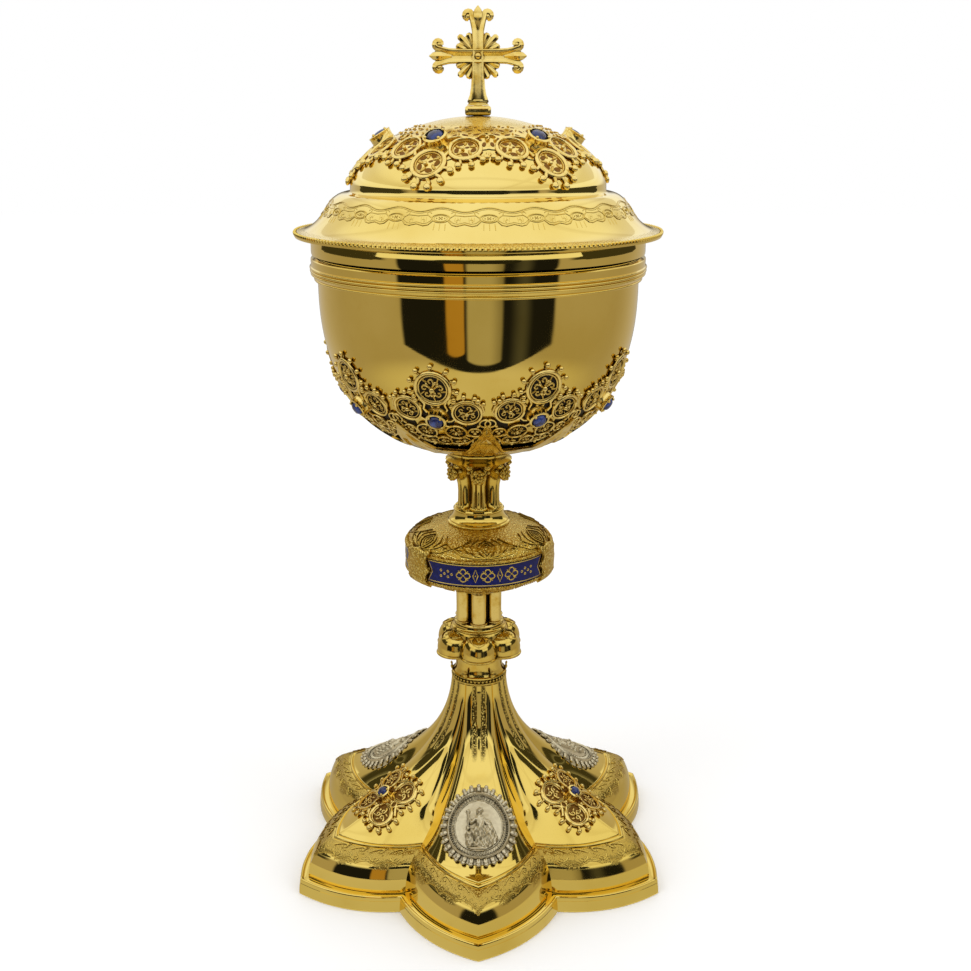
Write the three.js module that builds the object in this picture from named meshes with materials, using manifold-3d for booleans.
// Ciborium: a covered cup on a lobed foot, with a knop, a jewelled bowl and a cross on its lid.
// Millimetres, +Z up. The foot stands on Z = 0 and the front lobe points along -Y.
// An azimuth is in degrees, 0 at the front and growing towards +X.
import * as THREE from 'three';
import { mergeVertices } from 'three/addons/utils/BufferGeometryUtils.js';
import Module from 'manifold-3d';

const wasm = await Module();
wasm.setup();
const degrees = Math.PI / 180;

// Driving sizes

// Sheet, seats and the rod that holds the stem together
const gap = 0.3;
const sheet = 1.2;
const rodRadius = 3;
const rodClearance = 0.4;
const rodEnd = 2;
const nutAcross = 10;
const nutHeight = 4.6;
const washerRadius = 7.4;
const washerThickness = 1;

// Foot: six pointed lobes, a skirt up to a ridge, then panels that sweep up into the trumpet
const lobes = 6;
const footTip = 74.2;
const footValley = 55.3;
const lobeBulge = 0.1;
const rimHeight = 4;
const rimWidth = 4;
const flangeInset = 0.6;
const ledgeWidth = 3.8;
const skirtRun = 10.2;
const skirtRise = 12.8;
const trumpetRise = 50;
const neckTip = 9.8;
const neckValley = 9.5;

// Stem, from the foot up
const neckHeight = 11;
const neckRadius = 9.2;
const galleryRadius = 10.3;
const lowerKnopHeight = 11;
const lowerKnopTip = 16.8;
const lowerKnopValley = 11.8;
const columnHeight = 14.5;
const shaftRadius = 2.7;
const shaftCircle = 6.3;
const columnPlate = 1;
const knopHeight = 23.8;
const knopRadius = 25.2;
const knopFloorRadius = 17;
const bandHeight = 8.2;
const mouldHeight = 1.1;
const mouldReach = 1.2;
const enamelThickness = 0.8;
const enamelTurn = 4.5;
const enamelHalfAngle = 48.5;
const enamelNotch = 4;
const cartoucheThickness = 1.1;
const cartoucheGapAngle = 1;
const collarHeight = 5.7;
const collarRadius = 11;
const capitalHeight = 20.9;
const capitalShaft = 8.2;
const rosetteReach = 11.3;
const abacusRadius = 11.8;

// Bowl
const bowlRadius = 53.5;
const bowlDepth = 57.5;
const bowlPower = 2.42;
const wallHeight = 8.3;
const lipRadius = 55.4;
const lipBand = 6.3;
const beadHeight = 7.4;
const beadReach = 2.9;
const bowlUnits = 9;
const bowlTurn = -16;
const bowlTrimTop = 74.5;
const bowlTrimFoot = 26;
const bowlStoneAngle = 52.5;
const bowlLoopAngle = 65;
const bowlLoopRadius = 3.6;
const bowlScallopAngle = 81;
const bowlScallopRadius = 9;
const sepalThickness = 0.9;

// Lid and its cross
const domeRadius = 42;
const domeHeight = 21.5;
const domePower = 1.55;
const stepWidth = 2.4;
const stepDrop = 2.4;
const flangeRadius = 59.8;
const flangeDrop = 12;
const flangeEdge = 1.7;
const edgeWidth = 0.8;
const bezelDepth = 6;
const bezelWall = 1;
const bezelClearance = 0.6;
const lidUnits = 6;
const lidTurn = -24;
const lidTrimTop = 29;
const lidTrimFoot = 84;
const lidStoneAngle = 46;
const lidLoopAngle = 68;
const lidLoopRadius = 3.4;
const lidScallopAngle = 86;
const lidScallopRadius = 11;
const studRadius = 1.3;
const studClearance = 0.3;
const studEnd = 0.8;
const finialNutAcross = 6.4;
const finialNutHeight = 2.6;
const finialBaseRadius = 4.4;
const finialBaseHeight = 2.6;
const crossStem = 15.1;
const crossReach = 15.6;
const crossThickness = 2.8;
const armHalfWidth = 1.6;

// Jewellery
const filigree = 1;
const stoneRadius = 2.3;
const stoneHeight = 2.4;
const colletWall = 0.7;
const colletHeight = 1.7;
const medallionHalfWidth = 13.9;
const medallionHalfHeight = 15.8;
const medallionThickness = 1.2;
const panelLean = 27;
const plaqueSpan = 13;
const bridge = 1.1;
const panelReach = 40;
const cutLength = 12;

// Facets
const stemSteps = 18;
const roundSteps = 12;
const shaftSteps = 8;
const gemSteps = 6;
const bowlSteps = bowlUnits * 3;
const lidSteps = lidUnits * 4;
const lobeSteps = 3;
const bowlTrim = between(bowlTrimFoot, bowlTrimTop, 3);
const lidTrim = between(lidTrimTop, lidTrimFoot, 3);

// Heights that follow from the sizes
const ridgeHeight = rimHeight + sheet + skirtRise;
const ridgeInset = ledgeWidth + skirtRun;
const footTop = ridgeHeight + trumpetRise;
const lowerKnopBase = footTop + neckHeight;
const columnBase = lowerKnopBase + lowerKnopHeight;
const knopBase = columnBase + columnHeight;
const knopTop = knopBase + knopHeight;
const bandMiddle = knopBase + knopHeight * 0.525;
const capitalBase = knopTop + collarHeight;
const capitalTop = capitalBase + capitalHeight;
const bowlBottom = capitalTop + gap + sepalThickness + gap;
const bowlBelly = bowlBottom + bowlDepth;
const wallTop = bowlBelly + wallHeight;
const lipTop = wallTop + lipBand;
const flangeBottom = lipTop + gap;
const domeBase = flangeBottom + flangeEdge + flangeDrop + stepDrop;
const domeTop = domeBase + domeHeight;
const crossMiddle = domeTop + gap + finialBaseHeight + gap + crossStem;
const washerTop = footTop - sheet - gap;
const nutTop = washerTop - washerThickness - gap;
const finialNutTop = domeTop - sheet - gap;
const boreRadius = rodRadius + rodClearance;
const studHole = studRadius + studClearance;
const bandRadius = knopRadius + gap;
const trim = gap + filigree;

// Materials
const gilt = material('gilt', 0xd9b45a, 0.22, 1);
const giltMatt = material('gilt_matt', 0xb98b3c, 0.45, 1);
const silver = material('silver', 0xa9a593, 0.4, 1);
const enamel = material('enamel', 0x2b2a72, 0.2, 0);
const stone = material('stone', 0x2b3a86, 0.15, 0);
const steel = material('steel', 0xb0b0a8, 0.35, 1);

function material(name, color, roughness, metalness) {
  return new THREE.MeshStandardMaterial({ name, color, roughness, metalness });
}

// Geometry helpers

function between(from, to, steps) {
  return Array.from({ length: steps + 1 }, (_, i) => from + ((to - from) * i) / steps);
}

// One closed skin: shared corners merged, flat triangles dropped, faces pointing out.
function closed(geometry) {
  const bare = new THREE.BufferGeometry();
  bare.setAttribute('position', geometry.getAttribute('position').clone());
  if (geometry.index) bare.setIndex(geometry.index.clone());
  const merged = mergeVertices(bare, 1e-4);
  const place = merged.getAttribute('position');
  const corner = (i) => new THREE.Vector3().fromBufferAttribute(place, i);
  const kept = [];
  let volume = 0;
  for (let i = 0; i < merged.index.count; i += 3) {
    const [a, b, c] = [0, 1, 2].map((k) => merged.index.getX(i + k));
    if (a === b || b === c || c === a) continue;
    kept.push([a, b, c]);
    volume += corner(a).dot(corner(b).cross(corner(c)));
  }
  if (volume < 0) kept.forEach((face) => face.reverse());
  merged.setIndex(kept.flat());
  return merged;
}

function toSolid(geometry) {
  const skin = closed(geometry);
  return new wasm.Manifold(new wasm.Mesh({
    numProp: 3,
    vertProperties: new Float32Array(skin.getAttribute('position').array),
    triVerts: new Uint32Array(skin.index.array),
  }));
}

function toGeometry(solid) {
  const mesh = solid.getMesh();
  const geometry = new THREE.BufferGeometry();
  geometry.setAttribute('position', new THREE.BufferAttribute(mesh.vertProperties, 3));
  geometry.setIndex(new THREE.BufferAttribute(mesh.triVerts, 1));
  return geometry;
}

// Turns an outline of [radius, height] points round the Z axis.
function spin(outline, steps = stemSteps, turn = 0) {
  const points = outline.map(([r, z]) => new THREE.Vector2(r, z));
  if (outline[0][0] > 0) points.push(points[0].clone());
  return closed(new THREE.LatheGeometry(points, steps, turn * degrees).rotateX(Math.PI / 2));
}

// A point at an azimuth: out from the axis, across it and up.
function polar(azimuth, out, across, z) {
  const a = azimuth * degrees;
  return new THREE.Vector3(
    out * Math.sin(a) + across * Math.cos(a),
    -out * Math.cos(a) + across * Math.sin(a),
    z,
  );
}

// Joins rings of equal length, and the last ring to the first, into one closed body.
function loft(rings) {
  const count = rings[0].length;
  const faces = [];
  rings.forEach((ring, i) => {
    const next = (i + 1) % rings.length;
    for (let j = 0; j < count; j += 1) {
      const k = (j + 1) % count;
      faces.push(i * count + j, i * count + k, next * count + k);
      faces.push(i * count + j, next * count + k, next * count + j);
    }
  });
  return closed(new THREE.BufferGeometry().setFromPoints(rings.flat()).setIndex(faces));
}

// A sheet of metal over a grid of { point, normal }, from one lift above the grid to another.
function sheetOver(grid, low, high) {
  const rows = grid.length;
  const columns = grid[0].length;
  const raised = (lift) => ({ point, normal }) => point.clone().addScaledVector(normal, lift);
  const level = (lift) => grid.flat().map(raised(lift));
  const index = (layer, i, j) => layer * rows * columns + i * columns + j;
  const faces = [];
  const quad = (a, b, c, d) => faces.push(a, b, c, a, c, d);
  for (let i = 0; i + 1 < rows; i += 1) {
    for (let j = 0; j + 1 < columns; j += 1) {
      quad(index(1, i, j), index(1, i, j + 1), index(1, i + 1, j + 1), index(1, i + 1, j));
      quad(index(0, i, j), index(0, i + 1, j), index(0, i + 1, j + 1), index(0, i, j + 1));
    }
  }
  const border = [];
  for (let j = 0; j + 1 < columns; j += 1) border.push([0, j]);
  for (let i = 0; i + 1 < rows; i += 1) border.push([i, columns - 1]);
  for (let j = columns - 1; j > 0; j -= 1) border.push([rows - 1, j]);
  for (let i = rows - 1; i > 0; i -= 1) border.push([i, 0]);
  border.forEach(([i, j], n) => {
    const [k, l] = border[(n + 1) % border.length];
    quad(index(0, i, j), index(0, k, l), index(1, k, l), index(1, i, j));
  });
  return closed(new THREE.BufferGeometry().setFromPoints([...level(low), ...level(high)]).setIndex(faces));
}

// Where a small piece stands: its own Z axis along the normal there.
function standing({ point, normal }, lift = 0) {
  const turn = new THREE.Quaternion().setFromUnitVectors(new THREE.Vector3(0, 0, 1), normal);
  return { position: point.clone().addScaledVector(normal, lift), quaternion: turn };
}

function stood(geometry, spot, lift = 0) {
  const { position, quaternion } = standing(spot, lift);
  return geometry.clone().applyQuaternion(quaternion).translate(...position.toArray());
}

// Surfaces that the jewellery lies on

// The belly of the bowl and the dome of the lid. At angle 0 is the pole, and at 90 the widest place.
const power = (x, exponent) => Math.sign(x) * Math.abs(x) ** exponent;

function bellyPoint(angle, azimuth) {
  const r = bowlRadius * power(Math.sin(angle * degrees), 2 / bowlPower);
  const z = bowlBelly - bowlDepth * power(Math.cos(angle * degrees), 2 / bowlPower);
  return polar(azimuth, r, 0, z);
}

function domePoint(angle, azimuth) {
  const r = domeRadius * Math.sin(angle * degrees);
  const z = domeBase + domeHeight * power(Math.cos(angle * degrees), 2 / domePower);
  return polar(azimuth, r, 0, z);
}

function spotOn(surface, angle, azimuth) {
  const step = 0.2;
  const point = surface(angle, azimuth);
  const along = surface(angle + step, azimuth).sub(surface(angle - step, azimuth));
  const across = surface(angle, azimuth + step).sub(surface(angle, azimuth - step));
  const normal = along.cross(across).normalize();
  if (normal.dot(polar(azimuth, 1, 0, 0)) < 0) normal.negate();
  return { point, normal };
}

// The same surface as [radius, height] points, lifted off it.
function meridian(surface, angles, lift) {
  return angles.map((angle) => {
    const { point, normal } = spotOn(surface, angle, 0);
    const raised = point.addScaledVector(normal, lift);
    return [-raised.y, raised.z];
  });
}

// Foot

// How far out a panel still is, from 1 at the ridge down to 0 at the neck.
const fall = (t) => 0.7 * (1 - t) ** 3 + 0.3 * (1 - t) ** 1.4;

// Half of one lobe's outline, from the tip (u = 0) to the valley (u = 1): a pointed arch or a rounded box.
function lobePoint(u, tip, valley, pointed) {
  const halfTurn = 180 / lobes;
  const vx = valley * Math.sin(halfTurn * degrees);
  const vy = valley * Math.cos(halfTurn * degrees);
  const swell = lobeBulge * 4 * u * (1 - u);
  const archX = vx * u + (tip - vy) * swell;
  const archY = tip + (vy - tip) * u + vx * swell;
  const s = Math.sin(u * 90 * degrees);
  const boxPower = 2.6;
  const boxY = vy + (tip - vy) * (1 - s ** boxPower) ** (1 / boxPower);
  return [archX * pointed + vx * s * (1 - pointed), archY * pointed + boxY * (1 - pointed)];
}

function lobedRing(tip, valley, pointed, z) {
  const ring = [];
  for (let lobe = 0; lobe < lobes; lobe += 1) {
    for (let step = -lobeSteps; step < lobeSteps; step += 1) {
      const [across, out] = lobePoint(Math.abs(step) / lobeSteps, tip, valley, pointed);
      ring.push(polar((lobe * 360) / lobes, out, Math.sign(step) * across, z));
    }
  }
  return ring;
}

function roundRing(radius, z) {
  const count = lobes * lobeSteps * 2;
  return between(0, 360, count).slice(0, count).map((a) => polar(a - 180 / lobes, radius, 0, z));
}

const insetRing = (inset, z) => lobedRing(footTip - inset, footValley - inset, 1, z);

function skirtRing(turn, inward) {
  const inset = ledgeWidth + skirtRun * (1 - Math.cos(turn * degrees)) + inward;
  return insetRing(inset, rimHeight + sheet + (skirtRise - inward) * Math.sin(turn * degrees));
}

// One ring of the panels, from the ridge (t = 0) up to the neck (t = 1).
function panelRing(t, inward) {
  const tip = neckTip + (footTip - ridgeInset - neckTip) * fall(t);
  const valley = neckValley + (footValley - ridgeInset - neckValley) * fall(t);
  const pointed = Math.max(0, 1 - t / 0.22);
  return lobedRing(tip - inward, valley - inward, pointed, ridgeHeight + trumpetRise * t - inward);
}

function footShell() {
  return loft([
    insetRing(flangeInset, rimHeight),
    insetRing(flangeInset, rimHeight + sheet),
    ...[0, 35, 65].map((turn) => skirtRing(turn, 0)),
    ...[0, 0.08, 0.2, 0.35, 0.54, 0.76, 1].map((t) => panelRing(t, 0)),
    roundRing(boreRadius, footTop),
    roundRing(boreRadius, footTop - sheet),
    ...[1, 0.6, 0.27, 0.08, 0].map((t) => panelRing(t, sheet)),
    ...[65, 35].map((turn) => skirtRing(turn, sheet)),
    insetRing(ledgeWidth + sheet, rimHeight),
  ]);
}

function footRim() {
  return loft([
    insetRing(0, 0),
    insetRing(0, rimHeight),
    insetRing(rimWidth, rimHeight),
    insetRing(rimWidth, 0),
  ]);
}

// A place on one lobe's panel: across it, and down it from the middle, looking along the panel's normal.
function panelFrame(azimuth) {
  const lean = panelLean * degrees;
  const outShare = 0.63;
  const upShare = 0.17;
  return {
    across: polar(azimuth, 0, 1, 0),
    down: polar(azimuth, Math.cos(lean), 0, -Math.sin(lean)),
    normal: polar(azimuth, Math.sin(lean), 0, Math.cos(lean)),
    middle: polar(azimuth, (footTip - ridgeInset) * outShare, 0, ridgeHeight + trumpetRise * upShare),
  };
}

function drapedOn(skin, azimuth, x, v) {
  const { across, down, normal, middle } = panelFrame(azimuth);
  const start = middle.addScaledVector(across, x).addScaledVector(down, v);
  const ray = new THREE.Raycaster(start.addScaledVector(normal, panelReach), normal.clone().negate());
  const [hit] = ray.intersectObject(new THREE.Mesh(skin));
  return { point: hit.point.clone(), normal };
}

function medallion(skin, azimuth) {
  const { across } = panelFrame(azimuth);
  const rows = between(-1, 1, 8).map((s) => {
    const v = Math.sin(s * 80 * degrees);
    const spot = drapedOn(skin, azimuth, 0, medallionHalfHeight * v);
    const half = medallionHalfWidth * Math.sqrt(1 - v * v);
    return [-1, 0, 1].map((side) => ({
      point: spot.point.clone().addScaledVector(across, side * half),
      normal: spot.normal,
    }));
  });
  return sheetOver(rows, gap, gap + medallionThickness);
}

// A collet stands up from low in the filigree, so that it joins the openwork round its stone.
function collet(spot, seat) {
  const inner = stoneRadius + gap;
  const outer = inner + colletWall;
  const height = filigree + colletHeight;
  const tube = spin([[inner, 0], [outer + colletWall / 2, 0], [outer, height], [inner, height]], shaftSteps);
  return toSolid(stood(tube, spot, seat));
}

// A plate draped over a lobe, trimmed to an outline with four lobes of its own.
function footPlaque(skin, azimuth) {
  const steps = between(-plaqueSpan, plaqueSpan, 4);
  const grid = steps.map((v) => steps.map((x) => drapedOn(skin, azimuth, x, v)));
  const plate = toSolid(sheetOver(grid, bridge, bridge + filigree));
  const outline = new THREE.Shape(between(0, 360, 16).slice(1).map((a) => {
    const reach = plaqueSpan * (0.86 + 0.13 * Math.cos(4 * (a - 45) * degrees));
    return new THREE.Vector2(reach * Math.cos(a * degrees), reach * Math.sin(a * degrees));
  }));
  const cutter = new THREE.ExtrudeGeometry(outline, { depth: panelReach, bevelEnabled: false });
  const { across, down, normal, middle } = panelFrame(azimuth);
  const frame = new THREE.Matrix4().makeBasis(across, down.negate(), normal);
  frame.setPosition(middle.addScaledVector(normal, -panelReach / 2));
  const lattice = plate.intersect(toSolid(cutter.applyMatrix4(frame)));
  return toGeometry(lattice.add(collet(drapedOn(skin, azimuth, 0, 0), bridge)));
}

// Stem

function neckCollar() {
  const top = lowerKnopBase;
  return spin([
    [boreRadius, footTop], [galleryRadius - 0.4, footTop], [galleryRadius, footTop + 1.2],
    [galleryRadius - 0.4, footTop + 2.4], [neckRadius, footTop + 2.6], [neckRadius + 0.4, top - 4.4],
    [neckRadius, top - 1], [neckRadius + 1, top - 0.6], [neckRadius + 1, top], [boreRadius, top],
  ]);
}

function lowerKnop() {
  const level = (tipShare, valleyShare, rise) => lobedRing(
    lowerKnopTip * tipShare,
    lowerKnopValley * valleyShare,
    0,
    lowerKnopBase + lowerKnopHeight * rise,
  );
  return loft([
    roundRing(boreRadius, lowerKnopBase),
    level(0.8, 0.85, 0),
    level(0.97, 1, 0.05),
    level(1, 1.02, 0.25),
    level(0.96, 1, 0.5),
    level(0.82, 0.91, 0.78),
    level(0.56, 0.76, 1),
    roundRing(boreRadius, columnBase),
  ]);
}

function columnCluster() {
  const plateRadius = shaftCircle + shaftRadius + gap;
  const tube = (low, high, outer) => toSolid(spin([
    [boreRadius, low], [outer, low], [outer, high], [boreRadius, high],
  ]));
  let cluster = tube(columnBase, knopBase, boreRadius + sheet)
    .add(tube(columnBase, columnBase + columnPlate, plateRadius))
    .add(tube(knopBase - columnPlate, knopBase, plateRadius));
  const length = columnHeight - columnPlate;
  for (let shaft = 0; shaft < lobes; shaft += 1) {
    const round = new THREE.CylinderGeometry(shaftRadius, shaftRadius, length, shaftSteps);
    const at = polar((shaft * 360) / lobes, shaftCircle, 0, columnBase + columnHeight / 2);
    cluster = cluster.add(toSolid(round.rotateX(Math.PI / 2).translate(...at.toArray())));
  }
  return toGeometry(cluster);
}

// Each half of the knop ends in a moulding that holds the edge of the enamel.
function knopLower() {
  const floor = bandMiddle - bandHeight / 2;
  const low = floor - mouldHeight;
  return spin([
    [boreRadius, knopBase], [knopFloorRadius, knopBase],
    [knopRadius * 0.93, knopBase + (low - knopBase) * 0.65],
    [knopRadius + mouldReach / 2, low], [knopRadius + mouldReach, floor - mouldHeight / 2],
    [knopRadius + mouldReach * 0.75, floor], [knopRadius, floor], [knopRadius, bandMiddle],
    [boreRadius, bandMiddle],
  ], stemSteps, enamelTurn);
}

function knopUpper() {
  const roof = bandMiddle + bandHeight / 2;
  const high = roof + mouldHeight;
  return spin([
    [boreRadius, bandMiddle], [knopRadius, bandMiddle], [knopRadius, roof],
    [knopRadius + mouldReach * 0.75, roof], [knopRadius + mouldReach, roof + mouldHeight / 2],
    [knopRadius + mouldReach / 6, high], [knopRadius * 0.86, high + (knopTop - high) * 0.57],
    [knopRadius * 0.65, high + (knopTop - high) * 0.85], [collarRadius, knopTop], [boreRadius, knopTop],
  ], stemSteps, enamelTurn);
}

// A piece of the knop's band: its ends are notched (notch above 0) or pointed (notch below 0).
function bandPiece(azimuth, halfAngle, notch, steps, thickness) {
  const half = bandHeight / 2 - gap;
  const rows = [-1, 0, 1].map((side) => between(-1, 1, steps).map((s) => {
    const end = Math.abs(s) === 1 ? notch * (1 - Math.abs(side)) * Math.sign(s) : 0;
    const a = azimuth + halfAngle * s - end;
    return { point: polar(a, bandRadius, 0, bandMiddle + side * half), normal: polar(a, 1, 0, 0) };
  }));
  return sheetOver(rows, 0, thickness);
}

function collar() {
  return spin([
    [boreRadius, knopTop], [collarRadius, knopTop], [collarRadius + 0.2, knopTop + 0.9],
    [collarRadius * 0.84, knopTop + 2.4], [collarRadius * 0.79, capitalBase - 1],
    [collarRadius * 0.82, capitalBase], [boreRadius, capitalBase],
  ]);
}

function capital() {
  const level = (tip, valley, rise) => lobedRing(tip, valley, 0, capitalBase + capitalHeight * rise);
  return loft([
    roundRing(boreRadius, capitalBase),
    level(capitalShaft, capitalShaft * 0.86, 0),
    level(capitalShaft, capitalShaft * 0.84, 0.3),
    level(capitalShaft * 1.1, capitalShaft * 0.88, 0.53),
    level(rosetteReach, capitalShaft * 0.93, 0.66),
    level(rosetteReach * 0.95, capitalShaft * 1.08, 0.72),
    level(rosetteReach * 0.98, abacusRadius * 0.88, 0.8),
    level(abacusRadius, abacusRadius * 0.95, 0.95),
    level(abacusRadius, abacusRadius * 0.95, 1),
    roundRing(boreRadius, capitalTop),
  ]);
}

// Bowl

function bowl() {
  const rise = lipRadius - bowlRadius;
  const outside = meridian(bellyPoint, [10, ...bowlTrim, 90], 0);
  const inside = outside.map(([r, z]) => [
    r * (1 - sheet / bowlRadius),
    bowlBelly - (bowlBelly - z) * (1 - sheet / bowlDepth),
  ]);
  return spin([
    [0, bowlBottom], ...outside,
    [bowlRadius, wallTop], [lipRadius, wallTop + rise / 2], [lipRadius, lipTop],
    [lipRadius - sheet, lipTop], [lipRadius - sheet, wallTop + rise / 2],
    [bowlRadius - sheet, wallTop - rise], ...inside.reverse(), [0, bowlBottom + sheet],
  ], bowlSteps, bowlTurn);
}

function rimBead() {
  const inner = bowlRadius + gap;
  const top = wallTop - gap;
  const mould = [[0, 0], [0.17, 0], [0.66, 0.2], [0.9, 0.35], [1, 0.6], [0.93, 0.88], [0.69, 1], [0, 1]];
  const outline = mould.map(([out, up]) => [inner + beadReach * out, top - beadHeight * (1 - up)]);
  return spin(outline, bowlSteps, bowlTurn);
}

const unitAzimuths = (turn, count) => Array.from({ length: count }, (_, i) => turn + (360 * i) / count);
const bowlStoneSpots = unitAzimuths(bowlTurn, bowlUnits).map((a) => spotOn(bellyPoint, bowlStoneAngle, a));

// A band over a surface of revolution, with round openings cut in it and a collet for each stone.
function openwork(surface, angles, steps, turn, cuts, stoneSpots) {
  const outline = [...meridian(surface, angles, gap), ...meridian(surface, angles, trim).reverse()];
  let work = toSolid(spin(outline, steps, turn));
  for (const { spot, radius } of cuts) {
    const cutter = new THREE.CylinderGeometry(radius, radius, cutLength, gemSteps).rotateX(Math.PI / 2);
    work = work.subtract(toSolid(stood(cutter, spot)));
  }
  for (const spot of stoneSpots) work = work.add(collet(spot, gap));
  return toGeometry(work);
}

function bowlFiligree() {
  const halfPitch = 180 / bowlUnits;
  const cuts = [];
  for (const azimuth of unitAzimuths(bowlTurn, bowlUnits)) {
    const scallop = spotOn(bellyPoint, bowlScallopAngle, azimuth + halfPitch);
    cuts.push({ spot: scallop, radius: bowlScallopRadius });
    cuts.push({ spot: spotOn(bellyPoint, bowlLoopAngle, azimuth), radius: bowlLoopRadius });
  }
  return openwork(bellyPoint, bowlTrim, bowlSteps, bowlTurn, cuts, bowlStoneSpots);
}

// Pointed sepals that rise from under the bowl, between the stones and over the foot of the filigree.
function calyx() {
  const half = 2;
  const count = bowlUnits * half * 2;
  const hubAngle = 12;
  const startAngle = 3.5;
  const valleyAngle = bowlTrimFoot - 6;
  const clearAngle = valleyAngle - 1;
  const tipAngle = bowlStoneAngle - 4;
  const lift = (angle) => {
    const share = (angle - hubAngle) / (clearAngle - hubAngle);
    return gap + (trim + 2.2 * gap) * Math.min(1, Math.max(0, share));
  };
  const around = unitAzimuths(bowlTurn, count);
  const ring = (share, thickness) => around.map((azimuth, j) => {
    const u = Math.abs((j % (half * 2)) / half - 1);
    const edge = valleyAngle + (tipAngle - valleyAngle) * (1 - u) ** 1.2;
    const angle = startAngle + (edge - startAngle) * share;
    const { point, normal } = spotOn(bellyPoint, angle, azimuth);
    return point.addScaledVector(normal, lift(angle) + thickness);
  });
  const hub = (thickness) => around.map((a) => polar(a, boreRadius, 0, bowlBottom - gap - thickness));
  const shares = [0.15, 0.36, 0.58, 0.8, 1];
  return loft([
    hub(0), ...shares.map((share) => ring(share, 0)),
    ...shares.slice().reverse().map((share) => ring(share, sepalThickness)), hub(sepalThickness),
  ]);
}

// Lid

function ogee(from, to, steps) {
  const run = to[0] - from[0];
  const drop = from[1] - to[1];
  return new THREE.CubicBezierCurve(
    new THREE.Vector2(from[0], from[1]),
    new THREE.Vector2(from[0] + run * 0.44, from[1] - drop * 0.13),
    new THREE.Vector2(from[0] + run * 0.38, to[1] + drop * 0.1),
    new THREE.Vector2(to[0], to[1]),
  ).getPoints(steps).map(({ x, y }) => [x, y]);
}

function lidShell() {
  const stepTop = domeBase - stepDrop;
  const bezelInner = lipRadius - sheet - bezelClearance - bezelWall;
  const sweep = ogee([domeRadius + stepWidth, stepTop], [flangeRadius, flangeBottom + flangeEdge], 6);
  const dome = meridian(domePoint, [14, ...lidTrim, 90], 0);
  const inward = ([r, z]) => [r - sheet, z - sheet * 0.8];
  const insideSweep = sweep.map(inward).filter(([r, z]) => r < bezelInner - sheet && z > flangeBottom + 1);
  return spin([
    [studHole, domeTop], ...dome, [domeRadius + gap, stepTop + gap], ...sweep,
    [flangeRadius, flangeBottom], [bezelInner, flangeBottom],
    ...insideSweep.reverse(), [domeRadius - sheet, stepTop], ...dome.map(inward).reverse(),
    [studHole, domeTop - sheet],
  ], lidSteps, lidTurn);
}

function lidEdgeBand() {
  const inner = flangeRadius + gap;
  const top = flangeBottom + flangeEdge;
  return spin([
    [inner, flangeBottom], [inner + edgeWidth * 0.6, flangeBottom],
    [inner + edgeWidth, (flangeBottom + top) / 2], [inner + edgeWidth * 0.6, top], [inner, top],
  ], lidSteps, lidTurn);
}

function lidBezel() {
  const outer = lipRadius - sheet - bezelClearance;
  const low = flangeBottom - bezelDepth;
  return spin([
    [outer - bezelWall, low], [outer - bezelWall * 0.5, low], [outer, low + 0.8],
    [outer, flangeBottom], [outer - bezelWall, flangeBottom],
  ], lidSteps, lidTurn);
}

const lidStoneSpots = unitAzimuths(lidTurn, lidUnits).map((a) => spotOn(domePoint, lidStoneAngle, a));

function lidFiligree() {
  const halfPitch = 180 / lidUnits;
  const cuts = [];
  for (const azimuth of unitAzimuths(lidTurn, lidUnits)) {
    const scallop = spotOn(domePoint, lidScallopAngle, azimuth + halfPitch);
    cuts.push({ spot: scallop, radius: lidScallopRadius });
    cuts.push({ spot: spotOn(domePoint, lidLoopAngle, azimuth), radius: lidLoopRadius });
  }
  return openwork(domePoint, lidTrim, lidSteps, lidTurn, cuts, lidStoneSpots);
}

function finialBase() {
  const low = domeTop + gap;
  const top = low + finialBaseHeight;
  return spin([
    [studHole, low], [finialBaseRadius, low], [finialBaseRadius, low + finialBaseHeight * 0.35],
    [finialBaseRadius * 0.8, low + finialBaseHeight * 0.6], [finialBaseRadius * 0.72, top], [studHole, top],
  ], roundSteps);
}

// The cross in its own plane: three lily-ended arms, a stem that widens downwards, rays between them,
// and a stud that runs down through the lid.
function cross() {
  const half = armHalfWidth;
  const lily = [
    [0.6, half], [0.61, 3.4], [0.67, 4.9], [0.77, 5.3], [0.83, 4.4], [0.8, 3.1], [0.88, 1.9], [1, 0.2],
  ];
  const rays = [[3.6, half + 0.2], [4.9, 3.5], [6.3, 6.3]];
  const arm = (length) => lily.map(([a, b]) => [a * length, b]);
  const stem = [[7.5, half + 0.2], [crossStem - 3, 2.4], [crossStem, 3]];
  const outline = [];
  const sides = [[0, arm(crossStem)], [90, arm(crossReach)], [180, stem], [270, arm(crossReach)]];
  sides.forEach(([turn, side]) => {
    const path = [...rays.slice(0, 2).reverse(), ...side.filter(([a]) => a > 5)];
    const whole = [[6.3, -6.3], ...path.map(([a, b]) => [a, -b]), ...path.slice().reverse()];
    const [c, s] = [Math.cos(turn * degrees), Math.sin(turn * degrees)];
    whole.forEach(([a, b]) => outline.push(new THREE.Vector2(a * s + b * c, a * c - b * s)));
  });
  const depth = crossThickness;
  const plate = new THREE.ExtrudeGeometry(new THREE.Shape(outline), { depth, bevelEnabled: false });
  plate.rotateX(Math.PI / 2).translate(0, depth / 2, crossMiddle);
  const stud = shank(studRadius, finialNutTop - finialNutHeight - studEnd, crossMiddle - crossStem + sheet);
  return toGeometry(toSolid(plate).add(toSolid(stud)));
}

// Stones, rods, nuts and the washer

function cabochon() {
  const outline = [[0, 0], [1, 0], [1, 0.4], [0.7, 0.85], [0, 1]];
  return spin(outline.map(([out, up]) => [stoneRadius * out, stoneHeight * up]), gemSteps);
}

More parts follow.
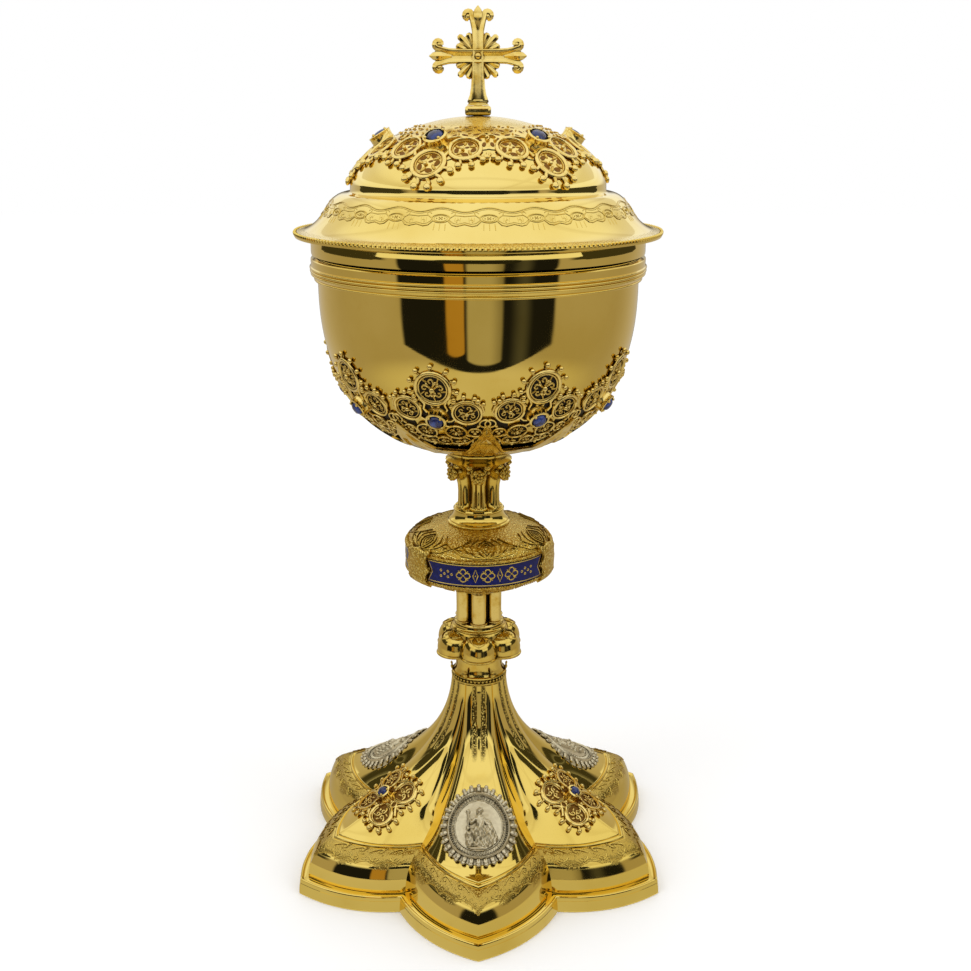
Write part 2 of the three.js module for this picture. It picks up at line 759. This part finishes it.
// A round rod on the axis, from one height to another.
function shank(radius, low, high) {
  const rod = new THREE.CylinderGeometry(radius, radius, high - low, roundSteps);
  return rod.rotateX(Math.PI / 2).translate(0, 0, (low + high) / 2);
}

// A hexagon nut that hangs down from a height.
function nut(across, height, bore, top) {
  const corner = across / Math.sqrt(3);
  const blank = new THREE.CylinderGeometry(corner, corner, height, 6).rotateX(Math.PI / 2);
  blank.translate(0, 0, top - height / 2);
  return toGeometry(toSolid(blank).subtract(toSolid(shank(bore, top - height * 2, top + height))));
}

function washer() {
  return spin([
    [boreRadius, washerTop - washerThickness], [washerRadius, washerTop - washerThickness],
    [washerRadius, washerTop], [boreRadius, washerTop],
  ], roundSteps);
}

// Assembly

const ciborium = new THREE.Group();
const vessel = new THREE.Group();
const lid = new THREE.Group();
ciborium.add(vessel, lid);

function place(group, name, geometry, finish, spot = null, lift = 0) {
  const mesh = new THREE.Mesh(geometry, finish.clone());
  mesh.name = name;
  if (spot) {
    const { position, quaternion } = standing(spot, lift);
    mesh.position.copy(position);
    mesh.quaternion.copy(quaternion);
  }
  group.add(mesh);
}

const skin = footShell();
place(vessel, 'foot_rim', footRim(), gilt);
place(vessel, 'foot_shell', skin, gilt);
for (let i = 0; i < lobes / 2; i += 1) {
  const medallionAzimuth = (720 / lobes) * i;
  const plaqueAzimuth = medallionAzimuth + 360 / lobes;
  const stoneSpot = drapedOn(skin, plaqueAzimuth, 0, 0);
  place(vessel, `foot_medallion_${i + 1}`, medallion(skin, medallionAzimuth), silver);
  place(vessel, `foot_filigree_${i + 1}`, footPlaque(skin, plaqueAzimuth), giltMatt);
  place(vessel, `foot_stone_${i + 1}`, cabochon(), stone, stoneSpot, bridge + filigree + gap);
}
place(vessel, 'neck_collar', neckCollar(), gilt);
place(vessel, 'lower_knop', lowerKnop(), gilt);
place(vessel, 'column_cluster', columnCluster(), gilt);
place(vessel, 'knop_lower', knopLower(), giltMatt);
place(vessel, 'knop_upper', knopUpper(), giltMatt);
for (let i = 0; i < 3; i += 1) {
  const azimuth = enamelTurn + 120 * i;
  const plaque = bandPiece(azimuth, enamelHalfAngle, enamelNotch, 10, enamelThickness);
  const halfAngle = 60 - enamelHalfAngle - cartoucheGapAngle;
  const point = enamelNotch - cartoucheGapAngle / 2;
  const cartouche = bandPiece(azimuth + 60, halfAngle, -point, 3, cartoucheThickness);
  place(vessel, `enamel_plaque_${i + 1}`, plaque, enamel);
  place(vessel, `knop_cartouche_${i + 1}`, cartouche, giltMatt);
}
place(vessel, 'knop_collar', collar(), gilt);
place(vessel, 'capital', capital(), gilt);
place(vessel, 'calyx', calyx(), gilt);
place(vessel, 'bowl', bowl(), gilt);
place(vessel, 'bowl_rim_bead', rimBead(), gilt);
place(vessel, 'bowl_filigree', bowlFiligree(), giltMatt);
bowlStoneSpots.forEach((spot, i) => {
  place(vessel, `bowl_stone_${i + 1}`, cabochon(), stone, spot, trim + gap);
});
place(vessel, 'tie_rod', shank(rodRadius, nutTop - nutHeight - rodEnd, bowlBottom - gap), steel);
place(vessel, 'tie_washer', washer(), steel);
place(vessel, 'tie_nut', nut(nutAcross, nutHeight, boreRadius, nutTop), steel);

place(lid, 'lid_shell', lidShell(), gilt);
place(lid, 'lid_edge_band', lidEdgeBand(), gilt);
place(lid, 'lid_bezel', lidBezel(), gilt);
place(lid, 'lid_filigree', lidFiligree(), giltMatt);
lidStoneSpots.forEach((spot, i) => {
  place(lid, `lid_stone_${i + 1}`, cabochon(), stone, spot, trim + gap);
});
place(lid, 'finial_base', finialBase(), gilt);
place(lid, 'finial_cross', cross(), gilt);
place(lid, 'finial_nut', nut(finialNutAcross, finialNutHeight, studHole, finialNutTop), steel);

export default ciborium;
